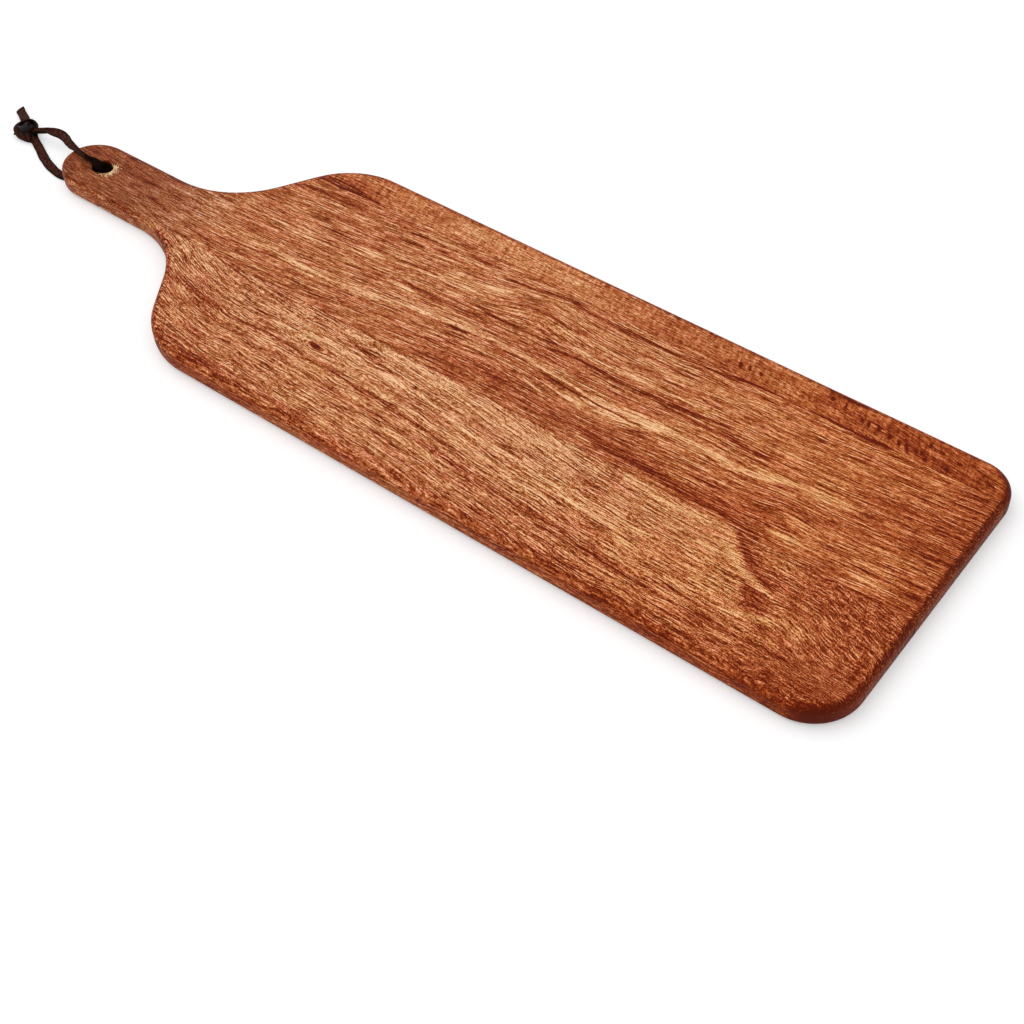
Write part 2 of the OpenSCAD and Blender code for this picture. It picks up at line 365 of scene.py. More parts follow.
def stave_grid(start, low_y, high_y, pitch, across):
    """Sections of one stave at its stations. Round a section run the underside, the +Y edge, the
    top and the -Y edge. An edge follows a quarter circle in and up, and where the stave ends at a
    glue joint its width is held at the joint, so that the edge stands straight."""
    x = stations(start, END_X, pitch)[:, None]

    def widest(inset):
        right = np.minimum(half_width(x, inset, FAR_CORNER_R), high_y)
        return right, np.maximum(-half_width(x, inset, NEAR_CORNER_R), low_y)

    # Largest inset that still leaves the stave some width, found by halving
    reach = np.clip(np.minimum(x - NOSE_X, END_X - x), 0, EDGE_R)
    least, most = 0 * x, reach.copy()
    for _ in range(30):
        trial = (least + most) / 2
        right, left = widest(trial)
        least = np.where(right > left, trial, least)
        most = np.where(right > left, most, trial)
    right, left = widest(reach)
    reach = np.where(right > left, reach, least)

    upper_turn = np.arccos(1 - reach / EDGE_R)
    lower_turn = np.arccos(1 - np.minimum(reach, LOWER_EDGE_R) / LOWER_EDGE_R)
    lower_turn = np.minimum(lower_turn, np.arcsin(1 - relief_height(x) / LOWER_EDGE_R))
    steps = np.linspace(0, 1, EDGE_STEPS)[None, :]
    up = np.concatenate([lower_turn * (1 - steps), upper_turn * steps], axis=1)
    radius = np.repeat([[LOWER_EDGE_R, EDGE_R]], EDGE_STEPS, axis=1)
    height = radius * (1 - np.sin(up))
    height[:, EDGE_STEPS:] = BOARD_T - height[:, EDGE_STEPS:]
    right, left = widest(radius * (1 - np.cos(up)))
    right = np.maximum(right, left)

    def span(column):
        """Points from one side to the other, with one close to each side."""
        width = right[:, column] - left[:, column]
        margin = np.minimum(JOINT_EASE_W / np.maximum(width, 1e-6), 0.2)[:, None]
        inner = margin + (1 - 2 * margin) * np.linspace(0, 1, across)[None, :]
        return left[:, column, None] + width[:, None] * inner

    bottom = span(0)
    top = span(-1)[:, ::-1]
    y = np.concatenate([bottom, right, top, left[:, ::-1]], axis=1)
    low = np.repeat(height[:, :1], across, axis=1)
    high = np.repeat(height[:, -1:], across, axis=1)
    z = np.concatenate([low, height, high, height[:, ::-1]], axis=1)
    return np.stack([np.repeat(x, y.shape[1], axis=1), y, z], axis=-1)


def sand(points):
    """Presses the shapes of handwork into the points: the flat faces wave by a few hundredths, and
    the edges along the glue joints are eased, deeper where the far joint stands a little open."""
    x, y, z = points[..., 0], points[..., 1], points[..., 2]
    upper = smooth_step(BOARD_T / 2, BOARD_T - 1, z)
    wave = FACE_WAVE * (cloud(x, y, 47.0, 23.0, 11) - 1)
    first, last = OPEN_JOINT
    gap = smooth_step(first, first + 8, x) * smooth_step(last, last - 14, x)
    ease = np.zeros_like(z)
    for joint, deeper in ((FAR_JOINT_Y, 1 + 4 * gap), (NEAR_JOINT_Y, 1)):
        slope = np.clip(1 - np.abs(y - joint) / JOINT_EASE_W, 0, 1)
        ease = np.maximum(ease, JOINT_EASE_D * deeper * slope)
    points[..., 2] = z + upper * (wave - ease)
    return points


def end_cap(columns, across):
    """Quads that close the flat end of a stave, from its underside row to its top row."""
    bottom = np.arange(across)
    top = across + 2 * EDGE_STEPS + across - 1 - np.arange(across)
    return np.stack([bottom[:-1], bottom[1:], top[1:], top[:-1]], axis=-1) + columns


# Spacing of each stave's sections in millimetres, and the points across its faces
PITCHES = {"far_plank": (1.0, 30), "middle_plank": (3.0, 184), "near_plank": (2.0, 96)}


def plain_stave(name, start, low_y, high_y):
    """A stave without a hole."""
    pitch, across = PITCHES[name]
    grid = stave_grid(start, low_y, high_y, pitch, across)
    rows, columns = grid.shape[:2]
    faces = np.vstack([grid_faces(rows, columns, closed=True), end_cap((rows - 1) * columns, across)])
    return make_piece(name, sand(grid.reshape(-1, 3)), faces)


# Half size of the patch round the hole, along and across the board
PATCH_HALF = (13.5, 11.5)
RIM_STEPS = 6
# How deep the rim is torn, and how far its edge gives way outwards
TEAR_DEPTH = 0.9
TEAR_SPREAD = 0.22


def hole_patch(grid, rows, tops, bottoms):
    """A ring of surface that goes from a block of the top face in to the hole's rim, over its
    rounded edge, down the bore and out again to the same block of the underside. Each ring is the
    block's border blended into a circle at the same angles."""

    def border(columns):
        first, last = rows
        near, far = columns[0], columns[-1]
        there, turn = grid[first:last, near], grid[last, columns[:-1]]
        back, close = grid[last:first:-1, far], grid[first, columns[:0:-1]]
        return np.vstack([there, turn, back, close])

    top, bottom = border(tops), border(bottoms)
    angle = np.arctan2(top[:, 1], top[:, 0] - HOLE_X)
    spoke = np.stack([np.cos(angle), np.sin(angle), 0 * angle], axis=-1)

    def circle(r, z):
        return spoke * r + (HOLE_X, 0, z)

    turn = np.linspace(0, np.pi / 2, RIM_STEPS)
    outer = HOLE_EASE * (1 - np.sin(turn))
    inner = HOLE_EASE * (1 - np.cos(turn))
    rim = [circle(HOLE_R + a, BOARD_T - b) for a, b in zip(outer, inner)]
    lower = [circle(HOLE_R + b, RELIEF_D + a) for a, b in zip(outer, inner)]
    walls = np.linspace(BOARD_T - HOLE_EASE, RELIEF_D + HOLE_EASE, 6)[1:-1]
    bore = [circle(HOLE_R, z) for z in walls]
    shares = np.linspace(0, 1, 12)[:-1]
    inwards = [top * (1 - s) + rim[0] * s for s in shares]
    outwards = [bottom * (1 - s) + lower[-1] * s for s in shares[::-1]]
    return np.stack(inwards + rim + bore + lower + outwards)


def tear(x, y, z):
    """How far the rim of the hole is torn: fibres pulled out of the top on its far right side, most
    at the bore and fading outwards in ragged tongues along the grain."""
    run, rise = x - HOLE_X, y
    r = np.hypot(run, rise)
    angle = np.degrees(np.arctan2(rise, run))
    facing = smooth_step(-70, 4, angle) * smooth_step(62, 34, angle)
    tongue = 12.8 + 3.2 * cloud(x, y, 5.0, 1.1, 21) + 1.8 * cloud(x, y, 1.6, 0.6, 22)
    fading = np.clip(1 - (r - HOLE_R) / (tongue - HOLE_R), 0, 1)
    return facing * fading * smooth_step(BOARD_T - 3.5, BOARD_T - 1, z)


def middle_stave():
    """The stave with the handle and the hole: its sections, with a block of faces above and below
    the hole left out for the ring round it."""
    pitch, across = PITCHES["middle_plank"]
    grid = stave_grid(NOSE_X, NEAR_JOINT_Y, FAR_JOINT_Y, pitch, across)
    rows, columns = grid.shape[:2]
    x_at = grid[:, 0, 0]
    first = int(np.searchsorted(x_at, HOLE_X - PATCH_HALF[0]))
    last = int(np.searchsorted(x_at, HOLE_X + PATCH_HALF[0]))
    top_start = across + 2 * EDGE_STEPS
    middle_row = grid[(first + last) // 2, top_start:top_start + across, 1]
    inside = np.flatnonzero(np.abs(middle_row) < PATCH_HALF[1])
    tops = top_start + inside[::-1]
    bottoms = across - 1 - inside[::-1]
    faces = grid_faces(rows, columns, closed=True)
    row, column = faces[:, 0] // columns, faces[:, 0] % columns
    in_rows = (row >= first) & (row < last)
    over = (column >= tops.min()) & (column < tops.max())
    under = (column >= bottoms.min()) & (column < bottoms.max())
    faces = faces[~(in_rows & (over | under))]
    patch = hole_patch(grid, (first, last), tops, bottoms)
    points = sand(np.vstack([grid.reshape(-1, 3), patch.reshape(-1, 3)]))
    depth = tear(*points.T)
    points[:, 2] -= TEAR_DEPTH * depth
    points[:, :2] += (points[:, :2] - (HOLE_X, 0)) * TEAR_SPREAD * depth[:, None]
    ring = grid_faces(*patch.shape[:2], closed=True, first=rows * columns)
    faces = np.vstack([faces, end_cap((rows - 1) * columns, across), ring])
    return make_piece("middle_plank", points, faces)


# The wood's figure, in millimetres on the board: each mark has its half width across the grain,
# how much lighter (or, below zero, darker) it makes the wood, and the places that it runs through

FAR_MARKS = [
    (0.8, -0.44, (-150, 72.3), (-134, 72.6), (-119, 72.4)), (9, -0.06, (-165, 80), (-120, 80)),
    (7, 0.09, (-55, 81), (35, 82)), (12, -0.06, (90, 80), (300, 76)), (12, -0.15, (200, 80), (300, 78)),
    (1.6, -0.1, (60, 74), (140, 74)), (1.3, -0.06, (150, 84), (200, 78), (260, 72)),
    (1.6, -0.14, (250, 77), (292, 69)), (2, 0.12, (195, 77), (250, 72)),
    (1.5, -0.4, (190, 88.5), (212, 88.5)), (0.8, -0.6, (227, 71), (235, 71)),
    # The last mark on this line is a painted glint in the pit near the far right corner
    (4, -0.08, (-165, 73), (-110, 75)), (0.6, 0.9, (289.4, 78.3), (290.6, 78)),
]
MIDDLE_MARKS = [
    (0.9, -0.85, (-170, 67.6), (-150, 68.6), (-130, 69.6), (-108, 70.4)),
    (1, -0.1, (-160, 64), (-100, 65), (-50, 66)), (1, -0.16, (-150, 60), (-60, 62), (-10, 66)),
    (0.8, -0.34, (-125, 35), (-90, 37), (-60, 39.4), (-40, 41)),
    (1.2, 0.24, (-75, 35.4), (-55, 38), (-42, 39), (0, 42)), (3, 0.36, (-86, 32.6), (-77, 33)),
    (1, 0.2, (-150, 24), (-110, 23.5)), (0.8, 0.3, (-60, 21.6), (-40, 22.5)),
    (0.8, -0.24, (-50, 26), (0, 26.6)), (2, 0.1, (-165, 4), (-125, 3)),
    (2.6, 0.3, (-120, 1.4), (-104, 1), (-60, 6), (-40, 10.6), (5, 15)),
    (1.1, -0.34, (-38, 8), (-20, 10.8), (3, 12.8)), (1, -0.26, (-20, -6), (-8, -1), (5, 3)),
    (5, -0.05, (-80, -10), (-30, -9)), (2, 0.2, (-134, -11), (-123, -13)),
    (0.8, -0.28, (-95, 52), (-80, 53), (-60, 54.5)), (0.8, -0.18, (-50, 57), (-20, 58)),
    (1, 0.24, (-60, 64), (-35, 65)), (2, 0.14, (-40, 59), (-5, 62)),
    (2.4, 0.14, (-35, 44), (-5, 50), (10, 55)), (0.8, -0.2, (-165, 57), (-140, 59), (-110, 60)),
    (0.9, -0.38, (-5, 61), (5, 61), (20, 65), (37, 67.3), (50, 65.5), (75, 64.5), (110, 64.7),
     (155, 69)),
    (1, -0.2, (-10, 40), (5, 44), (22, 50), (34, 51.5), (48, 48.5), (62, 47.5)),
    (0.9, -0.14, (0, 34), (20, 40), (34, 39), (48, 36)), (1.8, 0.2, (45, 46.2), (60, 45.6), (82, 46.5)),
    (7, 0.05, (40, 57), (90, 57)), (1.6, 0.16, (95, 50), (140, 54), (180, 58)),
    (1.4, 0.14, (60, 38), (110, 38), (150, 41)), (1.2, 0.16, (145, 36), (200, 37)),
    (0.8, -0.52, (5, 32.5), (25, 32.3), (50, 34)),
    (0.9, -0.42, (50, 29), (60, 30.5), (75, 31.5), (95, 30.5), (130, 33), (160, 35)),
    (0.9, -0.38, (125, 29), (160, 30), (188, 29)), (3.6, -0.18, (5, 24.5), (60, 24)),
    (2.6, -0.1, (60, 22), (130, 21)),
    (2.4, 0.24, (-5, 17.5), (20, 18.5), (60, 14), (85, 12.5), (120, 15)),
    (2.2, 0.26, (78, 6), (95, 4), (112, 7), (135, 14)),
    (3, 0.27, (120, 14), (145, 17), (165, 16), (185, 15.5), (205, 20), (222, 23), (236, 25)),
    (0.8, -0.32, (-5, 12.8), (20, 15.2), (30, 13.6), (45, 14), (75, 10.5), (125, 10.3)),
    (0.8, 0.44, (88, 9.2), (112, 9.6)), (9, -0.12, (0, -8), (215, -9)), (3, -0.26, (28, -2), (48, -4)),
    (1.8, -0.16, (38, -8), (50, -12)), (4, -0.26, (105, -9), (158, -14), (208, -15)),
    (1.2, 0.18, (100, -14), (108, -14)), (0.8, 0.3, (55, 3), (65, 0), (70, -3)),
    (0.8, -0.34, (145, 69.3), (235, 70.4)), (0.9, -0.2, (145, 20), (180, 19.5)),
    (1.6, -0.38, (202, 16.6), (206, 18), (213, 20)), (0.8, -0.32, (160, 13.4), (168, 12.5)),
    (2.6, -0.16, (198, 9), (222, 11), (240, 12)), (4, -0.12, (214, 2), (228, 5)),
    (2.6, 0.26, (217, -10.5), (232, -12.5)), (1, -0.24, (214, -8), (219, -6), (226, -4)),
    (4, 0.14, (268, -12), (294, -14)), (7, -0.11, (252, 21), (296, 24)),
    (1.8, -0.12, (225, 67), (292, 66)), (1.1, -0.6, (288, -6.3), (295, -5.8)),
    (0.8, -0.34, (284, 0.6), (297, -0.4)), (1.6, 0.02, (180, 62), (235, 64), (292, 67)),
    (0.8, -0.2, (225, 55), (290, 58)), (4, 0.05, (235, 48), (285, 51)), (7, 0.07, (-30, 41), (30, 42)),
    (1.4, -0.14, (-70, 20.5), (-50, 20.5)), (1.6, -0.12, (-66, 5), (-54, 4)),
    (3, -0.1, (-165, -7), (-145, -7)), (2, -0.12, (-120, 48), (-105, 49)),
    (2.6, -0.14, (235, 36), (290, 38)), (4, -0.1, (-296, 8), (-268, 7), (-235, 3)),
    (2.4, 0.06, (-250, 0), (-215, 2)), (4, 0.05, (-276, -10), (-262, -13)),
    (6, -0.1, (-298, -8), (-280, -9)), (0.9, -0.2, (-240, 6), (-200, 4)),
    (0.9, -0.2, (-232, -4), (-196, -9), (-170, -12)), (1.2, 0.16, (-228, 10), (-196, 12), (-176, 15)),
]
NEAR_MARKS = [
    (6, -0.12, (-290, -17), (-240, -19), (-215, -21)), (1, 0.12, (-285, -17), (-240, -19), (-222, -20)),
    (1.6, 0.26, (-222, -19), (-198, -20)), (1.2, -0.34, (-245, -22.5), (-215, -24.5), (-185, -27)),
    (1.2, -0.4, (-202, -21), (-196, -24)), (2.6, 0.22, (-195, -20), (-150, -25)),
    (6, 0.05, (-165, -32), (-110, -38)), (2.6, 0.2, (-97, -31), (-66, -34)),
    (3.6, 0.22, (-62, -36), (-35, -38)), (3.6, 0.14, (-45, -22), (0, -24)),
    (6, 0.2, (0, -25), (100, -28)), (3, 0.14, (105, -25), (125, -29)),
    (1.4, -0.26, (-40, -29), (-18, -32)), (2.5, 0.2, (-30, -41), (0, -38)),
    (1.5, 0.36, (-10, -37.4), (15, -38.4), (38, -43), (80, -46), (110, -50), (155, -53)),
    (0.7, -0.4, (30, -41), (40, -45)), (3, 0.14, (-30, -46), (0, -48)),
    (1.8, 0.16, (0, -50), (60, -54), (110, -58)),
    (1.4, -0.3, (-170, -47), (-140, -49), (-110, -52), (-80, -50), (-40, -51), (10, -54), (60, -59)),
    (2.6, -0.18, (-40, -61), (0, -62), (60, -66), (120, -70)), (1.5, 0.26, (-85, -55), (-70, -55.5)),
    (2, 0.12, (-60, -57), (-10, -58)), (1.8, 0.18, (0, -69), (50, -71)),
    (0.8, -0.32, (10, -72), (45, -75)),
    (0.8, -0.5, (120, -73.4), (170, -74.5), (240, -74), (262, -73.4)),
    (1.4, -0.1, (90, -69), (210, -69.5), (230, -68)), (2.2, 0.16, (-70, -49.5), (0, -50.5)),
    (2.6, -0.12, (-165, -43), (-140, -44)), (2, -0.18, (-165, -58), (-110, -60), (-60, -62)),
    (1.6, -0.1, (60, -69.5), (150, -71)), (8, -0.15, (-160, -72), (-100, -84)),
    (4, -0.1, (-160, -86), (-60, -86)), (3.4, -0.14, (-130, -88), (290, -89)),
    (6, -0.06, (60, -82), (290, -83)), (6, 0.07, (-60, -77), (-10, -77)),
    (8, 0.07, (236, -56), (286, -57)), (2.4, -0.2, (118, -34), (135, -37)),
    (2.5, 0.18, (140, -23), (200, -24)), (5, 0.04, (150, -33), (205, -35)),
    (0.8, -0.2, (138, -46), (146, -47.5)), (3, 0.12, (110, -45), (165, -48)),
    (3, 0.08, (-85, -40), (-45, -44)), (2, 0.1, (-20, -58), (40, -62)),
    (1.6, 0.32, (212, -38), (224, -41.5), (235, -43.6)), (2.4, 0.16, (204, -31), (214, -36)),
    (1.1, 0.3, (222, -64), (236, -61)), (2, 0.16, (200, -60), (220, -60)),
    (3, 0.12, (238, -57), (262, -56)),
]
MARKS = {"far_plank": FAR_MARKS, "middle_plank": MIDDLE_MARKS, "near_plank": NEAR_MARKS}

# Ticks across the grain of the far stave: place, half width, half height
TICKS = [
    (141, 78.5, 1.2, 2.2), (146.5, 79, 0.7, 2.4), (153.5, 78.5, 1, 2), (194, 84.5, 1.4, 1.8),
    (202, 84, 0.8, 2.4), (214, 80, 0.8, 1.8), (218, 79.5, 0.8, 2), (224, 79.5, 1.2, 2.2),
    (231, 78, 1.2, 2.4), (237, 76.5, 0.9, 2.6), (241.5, 76.5, 0.6, 2), (247, 76.5, 0.7, 2.2),
    (250, 77, 0.6, 2), (253, 74.5, 0.7, 2.2), (251, 84.5, 0.8, 1.8), (265.5, 74, 1.1, 2),
    # The last tick is the pit near the far right corner, painted dark as the shade in its hollow, which
    # is not modelled
    (269, 81.3, 1.2, 1.2), (288, 77.5, 2.6, 1.3),
]

# Where the near stave's pale figure ends: a dark scar
SCAR = [(204, -20.5), (209, -25), (214, -29.5), (217, -33), (222, -37), (229, -39.8), (236, -41.6)]

# Arcs of the burl in the near right corner, laid down like the marks
ARCS = [
    (1.3, -0.22, (256, -20), (268, -25), (279, -32), (287, -40), (292, -52), (292, -66)),
    (1.6, -0.14, (262, -32), (272, -37), (280, -45), (284, -56), (283, -68)),
    (1.2, 0.16, (262, -22), (275, -28), (285, -37), (290, -46)),
    (1.4, -0.12, (246, -46), (258, -46), (268, -52), (272, -60), (270, -70)),
    (1.6, -0.1, (252, -64), (262, -70), (274, -76)),
]

# Height of one grain line along each stave
RISES = {
    "far_plank": ((-160, 0), (60, 1), (130, 0), (200, -6), (300, -20)),
    "middle_plank": (
        (-300, 7), (-250, 3), (-205, 0), (-150, 1), (-100, 4), (-50, 9), (0, 13), (40, 15),
        (100, 15), (150, 18), (215, 20), (300, 26),
    ),
    "near_plank": (
        (-300, 22), (-230, 17), (-200, 12), (-175, 4), (-150, -5), (-125, -10), (-60, -12), (0, -14),
        (80, -21), (150, -26), (210, -28), (300, -28),
    ),
}
CORNER_SWIRL = (236.0, -62.0)
TICK_SLANT = 0.35

# Each stave's base tone, how much stronger its thin marks are laid on, how fast the grain's
# pattern passes along it, the lean of the grain in its thickness, and how cool its handle end is
STAVES = {
    "far_plank": (0.58, 0.5, 1.1, 0.5, 0.5),
    "middle_plank": (0.632, 0.5, 1.1, -0.7, 0.5),
    "near_plank": (0.658, 0.25, 1.3, 0.9, 0.2),
}

# Broad changes of tone: the stave (or all), the change of tone, and the smooth steps that it is the
# product of. A step follows a place or a part of the surface's normal, from where it is 0 to where it
# is 1.
# Rows that follow only a place are the wood's own tone; rows that follow the normal are painted shade
# and light
SHADES = (
    ("middle_plank", -0.1, ("x", -185, -225)),
    ("middle_plank", -0.05, ("x", -225, -255)),
    ("middle_plank", -0.05, ("x", 225, 245), ("y", 58, 48)),
    ("middle_plank", -0.06, ("x", 245, 275), ("y", 8, 25)),
    ("near_plank", -0.04, ("x", 234, 262)),
    ("near_plank", -0.08, ("x", 228, 250)),
    ("near_plank", -0.08, ("x", 240, 275), ("y", -45, -80)),
    ("all", -0.05, ("x", 262, 292)),
    # Painted shade by the way the surface faces: darker on the far side, on the near side and on the
    # neck's side towards the handle
    ("all", -0.2, ("ny", 0.03, 0.25)),
    ("all", -0.1, ("ny", 0.35, 0.7)),
    ("all", -0.07, ("ny", -0.02, -0.2)),
    ("all", -0.04, ("x", 20, 120), ("ny", -0.62, -0.85)),
    ("all", -0.24, ("nx", -0.12, -0.5), ("x", -230, -190)),
    # Painted shade on the lower rounded edge, where it meets the floor
    ("all", -0.38, ("nz", -0.05, -0.45), ("nz", -1, -0.85)),
    # The blade end: darker end grain and painted shade where the edge turns over, with a painted
    # lighter band on the steep end wall
    ("all", -0.33, ("nx", 0.04, 0.45), ("x", 250, 290)),
    ("all", 0.12, ("nx", 0.04, 0.45), ("nx", 0.75, 0.96), ("x", 250, 290)),
)


def mark_strength(x, y, line, half):
    """Bell-shaped across a line of places, and fading in and out over its two ends."""
    places = np.array(line, dtype=float)
    off = (y - np.interp(x, places[:, 0], places[:, 1])) / half
    fade = 2.5 * half + 2
    inside = smooth_step(places[0, 0] - fade, places[0, 0] + fade / 2, x)
    inside = inside * smooth_step(places[-1, 0] + fade, places[-1, 0] - fade / 2, x)
    return np.exp(-off * off) * inside


def line_distance(x, y, line):
    """Distance from each point to a line of places: to the nearest of its straight stretches."""
    places = np.array(line, dtype=float)
    nearest = np.full_like(x, 1e9)
    for (ax, ay), (bx, by) in zip(places[:-1], places[1:]):
        run, rise = bx - ax, by - ay
        t = np.clip(((x - ax) * run + (y - ay) * rise) / (run * run + rise * rise), 0, 1)
        nearest = np.minimum(nearest, np.hypot(x - ax - t * run, y - ay - t * rise))
    return nearest


def bump(x, y, at_x, at_y, reach_x, reach_y):
    """A bell-shaped rise of height 1 round one place."""
    return np.exp(-(((x - at_x) / reach_x) ** 2) - ((y - at_y) / reach_y) ** 2)


def beyond(x, width):
    """Nothing below 0 and x above it, with a soft corner: width times log(1 + e^(x / width))."""
    return width * np.logaddexp(0, x / width)


def grain_across(name, x, y):
    """Number of each grain line, in millimetres across the grain: the place across the board less
    the rise of the grain there. The middle stave has a cathedral's hump and a dip below it; the
    near stave falls away faster beside the joint, parts round its knot and turns in at the corner."""
    path = np.array(RISES[name], dtype=float)
    rise = sum(np.interp(x + shift, path[:, 0], path[:, 1]) for shift in (-12, -4, 4, 12)) / 4
    if name == "middle_plank":
        rise = rise + 6.0 * bump(x, y, 32, 50, 30, 12) + 2.5 * bump(x, y, 34, 66, 26, 9)
        rise = rise - 4.0 * bump(x, y, 92, 4, 30, 9) + 3.0 * bump(x, y, 215, 8, 18, 10)
    if name == "near_plank":
        beside = smooth_step(55, 110, x) * smooth_step(-42, -24, y) * smooth_step(230, 180, x)
        rise = rise - 4.0 * beside
        rise = rise + 2.6 * bump(x, y, -57, -42.5, 13, 5.5) * np.tanh((y + 42.5) / 2)
        swirl_x, swirl_y = CORNER_SWIRL
        reach = np.hypot(x - swirl_x, y - swirl_y) - (y - swirl_y)
        rise = rise - 0.25 * reach * smooth_step(-84, -56, y) * smooth_step(swirl_x, swirl_x + 40, x)
    return y - rise


def near_figure(x, y, wobble):
    """The near stave's own figure, as a change of tone: a scar with a shaded side and a dark block
    below it, the small oval knot, and the arcs of the burl."""
    scar = line_distance(x, y + 0.5 * wobble, SCAR)
    shaded = smooth_step(0, 4, y + 0.5 * wobble - np.interp(x, *np.transpose(SCAR)))
    past, height = x - 224 + 0.5 * (y + 50) + 1.5 * wobble, y + 0.6 * wobble
    block = smooth_step(-1, 2, past) * smooth_step(20, 8, past)
    block = block * smooth_step(-59, -55, height) * smooth_step(-44, -47, height)
    width = 1.4 + 1.4 * bump(x, y, 217, -33, 6, 6)
    oval = np.hypot((x + 57) / 4.0, (y + 42.4 + 0.12 * (x + 57)) / 1.7)
    tone = -0.46 * np.exp(-((scar / width) ** 2)) - 0.20 * shaded * np.exp(-((scar / 5.0) ** 2))
    tone = tone - 0.40 * block - 0.07 * shaded * smooth_step(203, 212, x)
    tone = tone - 0.9 * smooth_step(1.25, 0.75, oval)
    for half, amount, *line in ARCS:
        tone = tone + amount * np.exp(-((line_distance(x, height, line) / half) ** 2))
    return tone


def paint_wood(piece):
    """Lays the figure down on a stave's points: the grain's own coordinates, the broad light and
    dark marks, raw torn fibres, and how far the surface has turned over at an edge, which the
    shader turns into painted shade. The tone also carries painted shade and light on the rounded
    edges and sides, and painted shade inside the bore. Thin marks are laid on stronger, since the
    fibres break them up."""
    name = piece.name
    base, thin_gain, pace, lean, handle_hue = STAVES[name]
    x, y, z = per_point(piece, "co") / MM
    nx, ny, nz = per_point(piece, "normal")
    deep = BOARD_T - z
    leaned = y + lean * deep
    along = pace * x - 1.4 * beyond(-200 - x, 12)
    if name == "near_plank":
        along = along + 2.2 * beyond(x - 246, 6)
    paint(piece, "grain", along, grain_across(name, x, leaned), deep)

    wobble = 0.9 * cloud(x, leaned, 22.0, 4.0, 31) + 0.5 * cloud(x, leaned, 7.0, 2.0, 32)
    strands = 1 + 0.5 * cloud(x, leaned, 16.0, 1.4, 34)
    tone = base + 0.03 * cloud(x, leaned, 70.0, 12.0, 33)
    for half, amount, *line in MARKS[name]:
        gain = 1 + thin_gain * math.exp(-((half / 1.3) ** 4))
        tone = tone + gain * amount * strands * mark_strength(x, leaned + wobble, line, half)
    measures = {"x": x, "y": y, "nx": nx, "ny": ny, "nz": nz}
    for stave, amount, *ramps in SHADES:
        if stave in (name, "all"):
            tone = tone + amount * math.prod(smooth_step(a, b, measures[key]) for key, a, b in ramps)
    # A painted highlight on the near rounded edge where it faces halfway down, from the middle of the
    # board towards the handle
    tone = tone + 0.07 * bump(ny, 0, -0.5, 0, 0.14, 1) * smooth_step(60, 0, x)
    calm = smooth_step(-185, -225, x)
    if name == "near_plank":
        tone = tone + near_figure(x, y, wobble)
        calm = np.maximum(calm, 0.35 * smooth_step(232, 256, x))
    if name == "far_plank":
        for tick_x, tick_y, half_x, half_y in TICKS:
            slanted_x = tick_x + TICK_SLANT * (tick_y - y)
            tone = tone - 1.1 * bump(x, y, slanted_x, tick_y, 0.75 * half_x, 0.75 * half_y)
    paint(piece, "tone", tone)
    paint(piece, "flush", np.clip(-2.2 * (tone - base), -0.4, 0.7) + 0.15 * smooth_step(90, 230, x))

    end = smooth_step(0.04, 0.45, nx) * smooth_step(250, 290, x)
    hue = 0.5 - 0.5 * smooth_step(80, 230, x) + 0.85 * end
    hue = hue + handle_hue * smooth_step(-150, -235, x)
    hue = hue - 0.14 * smooth_step(-42, -56, y) * smooth_step(-200, -120, x)
    paint(piece, "hue", hue)
    calm = 0.30 * calm + 0.2 * end + 0.3 * smooth_step(-0.1, -0.5, ny) * smooth_step(-170, -120, x)
    paint(piece, "figure", 1 - np.minimum(calm, 0.6))
    # Painted shade: the inside of the bore is painted near black
    inside = smooth_step(BOARD_T - 0.6, BOARD_T - 2.2, z) * (np.hypot(x - HOLE_X, y) < HOLE_R + 1.2)
    paint(piece, "bore_shade", inside)
    paint(piece, "torn", tear(x, y, z))
    # How far the surface turns from facing up, which the wood shader uses for painted shade
    paint(piece, "turned", np.clip(1 - np.abs(nz), 0, 1))


# Node tools


def wire(tree, value, socket):
    """Joins a socket to an input, or writes a plain value into it."""
    if isinstance(value, bpy.types.NodeSocket):
        tree.links.new(value, socket)
    else:
        socket.default_value = value


def fill(tree, node, values):
    """Joins a socket to each named input of a node, or writes its plain value."""
    for name, value in values.items():
        wire(tree, value, node.inputs[name])


def calc(tree, operation, a, b=0.0, c=0.0, clamp=False):
    """A Math node's result."""
    made = tree.nodes.new("ShaderNodeMath")
    made.operation = operation
    made.use_clamp = clamp
    for value, socket in zip((a, b, c), made.inputs):
        wire(tree, value, socket)
    return made.outputs[0]


def mix_colour(tree, factor, a, b, kind="MIX"):
    """A colour mix's result."""
    made = tree.nodes.new("ShaderNodeMix")
    made.data_type = "RGBA"
    made.blend_type = kind
    wire(tree, factor, made.inputs[0])
    wire(tree, a, made.inputs[6])
    wire(tree, b, made.inputs[7])
    return made.outputs[2]


def painted(tree, name, part="Fac"):
    """What paint kept under a name: one number, or three for the part Vector."""
    made = tree.nodes.new("ShaderNodeAttribute")
    made.attribute_name = name
    return made.outputs[part]


def vector_calc(tree, operation, a, b):
    """A Vector Math node's result."""
    made = tree.nodes.new("ShaderNodeVectorMath")
    made.operation = operation
    wire(tree, a, made.inputs[0])
    wire(tree, b, made.inputs[1])
    return made.outputs[0]


def shifted(tree, vector, offset):
    """A vector with another added."""
    return vector_calc(tree, "ADD", vector, offset)


def slanted(tree, vector, slant):
    """A vector whose first part has slant times its second part added."""
    parts = tree.nodes.new("ShaderNodeSeparateXYZ")
    wire(tree, vector, parts.inputs[0])
    x, y, z = parts.outputs
    joined = tree.nodes.new("ShaderNodeCombineXYZ")
    fill(tree, joined, {"X": calc(tree, "MULTIPLY_ADD", y, slant, x), "Y": y, "Z": z})
    return joined.outputs[0]


